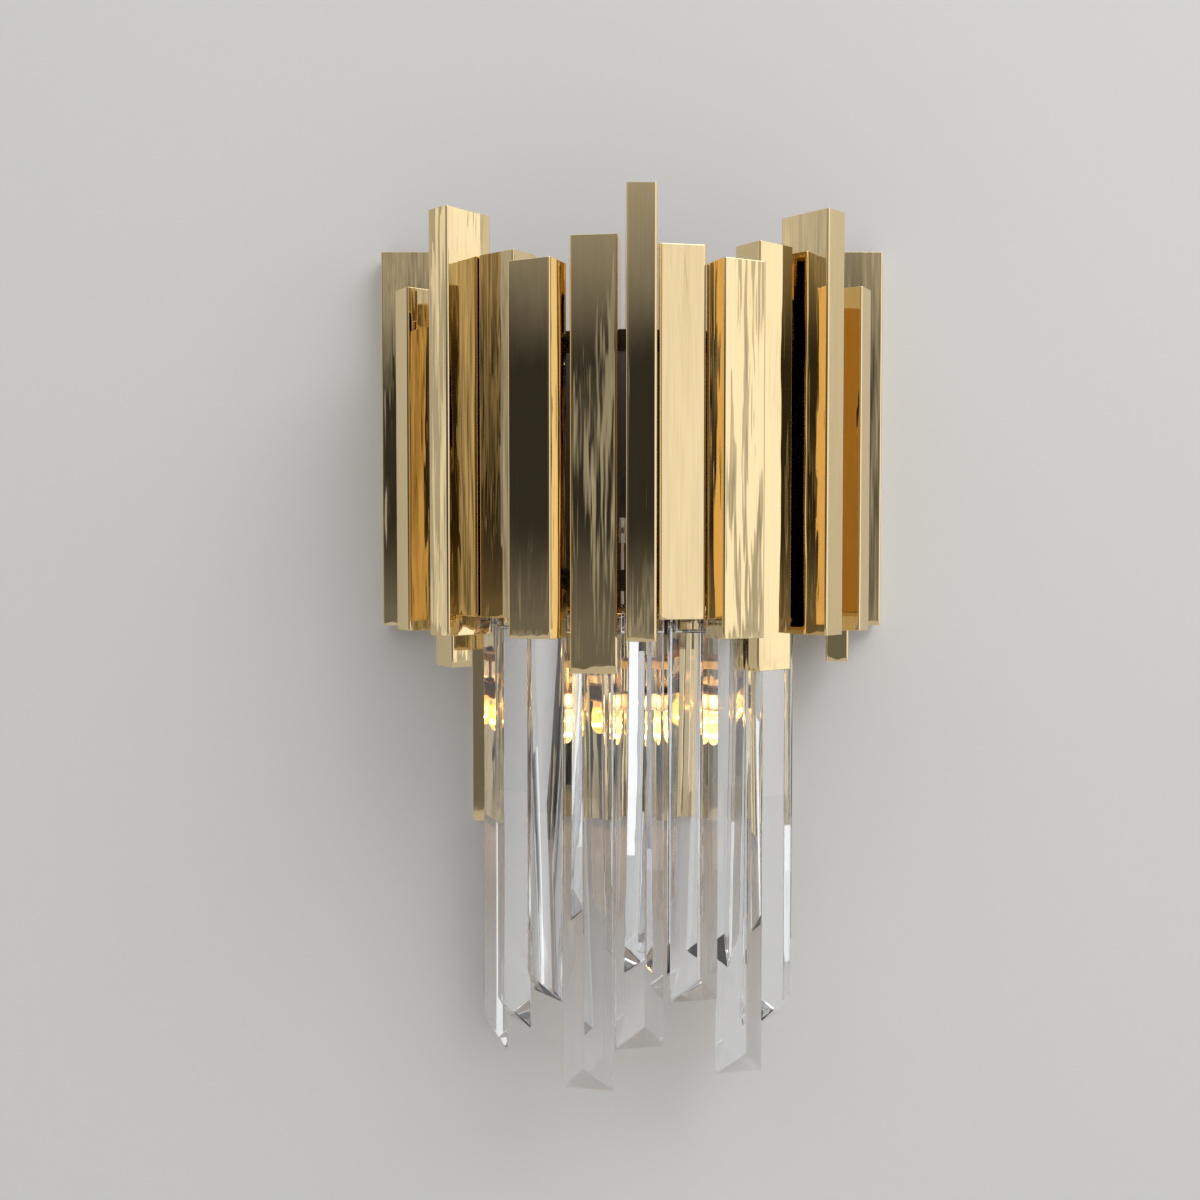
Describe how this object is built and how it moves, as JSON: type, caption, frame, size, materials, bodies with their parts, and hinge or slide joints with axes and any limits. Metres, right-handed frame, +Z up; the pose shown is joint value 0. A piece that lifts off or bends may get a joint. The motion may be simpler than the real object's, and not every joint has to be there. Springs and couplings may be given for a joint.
{
  "type": "crystal wall sconce",
  "caption": "Half-drum wall sconce of upright mirror-gold rectangular tubes on half hoops, with long clear prism crystals hanging below round a small lamp bar.",
  "frame": {"origin": "on the wall, at the middle of the wall strap between its two slotted screw holes", "axes": "+X right along the wall as seen from the room, -Y out of the wall into the room, +Z up"},
  "size_m": [0.32, 0.1705, 0.508],
  "materials": {
    "mirror_gold": "mirror polish",
    "polished_gold": "polished",
    "zinc_steel": "zinc plated",
    "dark_steel": "satin",
    "hook_wire": "bright",
    "crystal": "polished",
    "bulb_glass": "clear",
    "ceramic": "matt",
    "rubber": "matt",
    "terminal_plastic": "matt",
    "lead_sleeve": "matt"
  },
  "bodies": {
    "sconce_frame": {"wall_strap": "zinc_steel", "strap_studs": "zinc_steel", "plate_pillars": "zinc_steel", "tube_nuts": "zinc_steel", "hoop_screws": "zinc_steel", "tube_screws": "zinc_steel", "arm_screws": "zinc_steel", "plate_screws": "zinc_steel", "bar_screws": "zinc_steel", "ring_screws": "zinc_steel", "ring_arm_left": "polished_gold", "ring_arm_right": "polished_gold", "outer_crystal_ring": "polished_gold", "inner_crystal_ring": "polished_gold", "lamp_bar": "polished_gold", "cap_nuts": "polished_gold", "lower_mirror_plate": "mirror_gold", "inner_tube_left": "mirror_gold", "inner_tube_right": "mirror_gold", "shade_tube_01": "mirror_gold", "shade_tube_02": "mirror_gold", "shade_tube_03": "mirror_gold", "shade_tube_04": "mirror_gold", "shade_tube_05": "mirror_gold", "shade_tube_06": "mirror_gold", "shade_tube_07": "mirror_gold", "shade_tube_08": "mirror_gold", "shade_tube_09": "mirror_gold", "shade_tube_10": "mirror_gold", "shade_tube_11": "mirror_gold", "shade_tube_12": "mirror_gold", "shade_tube_13": "mirror_gold", "lamp_channel": "dark_steel", "channel_posts": "dark_steel", "back_tray": "dark_steel", "upper_hoop": "dark_steel", "lower_hoop": "dark_steel", "tube_spacers": "dark_steel", "lamp_holders": "ceramic", "lamp_bulbs": "bulb_glass", "cable_grommet": "rubber", "terminal_block": "terminal_plastic", "lamp_leads": "lead_sleeve", "outer_hooks": "hook_wire", "inner_hooks": "hook_wire"},
    "outer_crystal_1": {"outer_crystal_1": "crystal"},
    "outer_crystal_2": {"outer_crystal_2": "crystal"},
    "outer_crystal_3": {"outer_crystal_3": "crystal"},
    "outer_crystal_4": {"outer_crystal_4": "crystal"},
    "outer_crystal_5": {"outer_crystal_5": "crystal"},
    "outer_crystal_6": {"outer_crystal_6": "crystal"},
    "outer_crystal_7": {"outer_crystal_7": "crystal"},
    "outer_crystal_8": {"outer_crystal_8": "crystal"},
    "outer_crystal_9": {"outer_crystal_9": "crystal"},
    "inner_crystal_1": {"inner_crystal_1": "crystal"},
    "inner_crystal_2": {"inner_crystal_2": "crystal"},
    "inner_crystal_3": {"inner_crystal_3": "crystal"},
    "inner_crystal_4": {"inner_crystal_4": "crystal"},
    "inner_crystal_5": {"inner_crystal_5": "crystal"}
  },
  "joints": [
    {"name": "outer_crystal_1_swing", "type": "hinge", "parent": "sconce_frame", "child": "outer_crystal_1", "pos_m": [-0.08484, -0.02168, -0.118], "axis": [-0.0349, 0.9994, 0], "range_deg": [-0.5, 6]},
    {"name": "outer_crystal_2_swing", "type": "hinge", "parent": "sconce_frame", "child": "outer_crystal_2", "pos_m": [-0.07483, -0.05424, -0.118], "axis": [-0.5446, 0.8387, 0], "range_deg": [-0.5, 6]},
    {"name": "outer_crystal_3_swing", "type": "hinge", "parent": "sconce_frame", "child": "outer_crystal_3", "pos_m": [-0.05545, -0.08123, -0.118], "axis": [-0.6428, 0.766, 0], "range_deg": [-0.5, 6]},
    {"name": "outer_crystal_4_swing", "type": "hinge", "parent": "sconce_frame", "child": "outer_crystal_4", "pos_m": [-0.02795, -0.09893, -0.118], "axis": [-0.9781, 0.2079, 0], "range_deg": [-0.5, 6]},
    {"name": "outer_crystal_5_swing", "type": "hinge", "parent": "sconce_frame", "child": "outer_crystal_5", "pos_m": [0.00379, -0.09992, -0.118], "axis": [-0.9763, -0.2164, 0], "range_deg": [-0.5, 6]},
    {"name": "outer_crystal_6_swing", "type": "hinge", "parent": "sconce_frame", "child": "outer_crystal_6", "pos_m": [0.03629, -0.09141, -0.118], "axis": [-0.9763, -0.2164, 0], "range_deg": [-0.5, 6]},
    {"name": "outer_crystal_7_swing", "type": "hinge", "parent": "sconce_frame", "child": "outer_crystal_7", "pos_m": [0.06495, -0.07393, -0.118], "axis": [-0.9781, -0.2079, 0], "range_deg": [-0.5, 6]},
    {"name": "outer_crystal_8_swing", "type": "hinge", "parent": "sconce_frame", "child": "outer_crystal_8", "pos_m": [0.08898, -0.04976, -0.118], "axis": [-0.5878, -0.809, 0], "range_deg": [-0.5, 6]},
    {"name": "outer_crystal_9_swing", "type": "hinge", "parent": "sconce_frame", "child": "outer_crystal_9", "pos_m": [0.0934, -0.01903, -0.118], "axis": [-0.1045, -0.9945, 0], "range_deg": [-0.5, 6]},
    {"name": "inner_crystal_1_swing", "type": "hinge", "parent": "sconce_frame", "child": "inner_crystal_1", "pos_m": [-0.05575, -0.02482, -0.118], "axis": [-0.4067, 0.9135, 0], "range_deg": [-0.5, 3]},
    {"name": "inner_crystal_2_swing", "type": "hinge", "parent": "sconce_frame", "child": "inner_crystal_2", "pos_m": [-0.03324, -0.05118, -0.118], "axis": [-0.8387, 0.5446, 0], "range_deg": [-0.5, 3]},
    {"name": "inner_crystal_3_swing", "type": "hinge", "parent": "sconce_frame", "child": "inner_crystal_3", "pos_m": [0.00213, -0.06098, -0.118], "axis": [-0.9994, -0.0349, 0], "range_deg": [-0.5, 3]},
    {"name": "inner_crystal_4_swing", "type": "hinge", "parent": "sconce_frame", "child": "inner_crystal_4", "pos_m": [0.03587, -0.04937, -0.118], "axis": [-0.809, -0.5878, 0], "range_deg": [-0.5, 3]},
    {"name": "inner_crystal_5_swing", "type": "hinge", "parent": "sconce_frame", "child": "inner_crystal_5", "pos_m": [0.05658, -0.02286, -0.118], "axis": [-0.3746, -0.9272, 0], "range_deg": [-0.5, 3]}
  ]
}
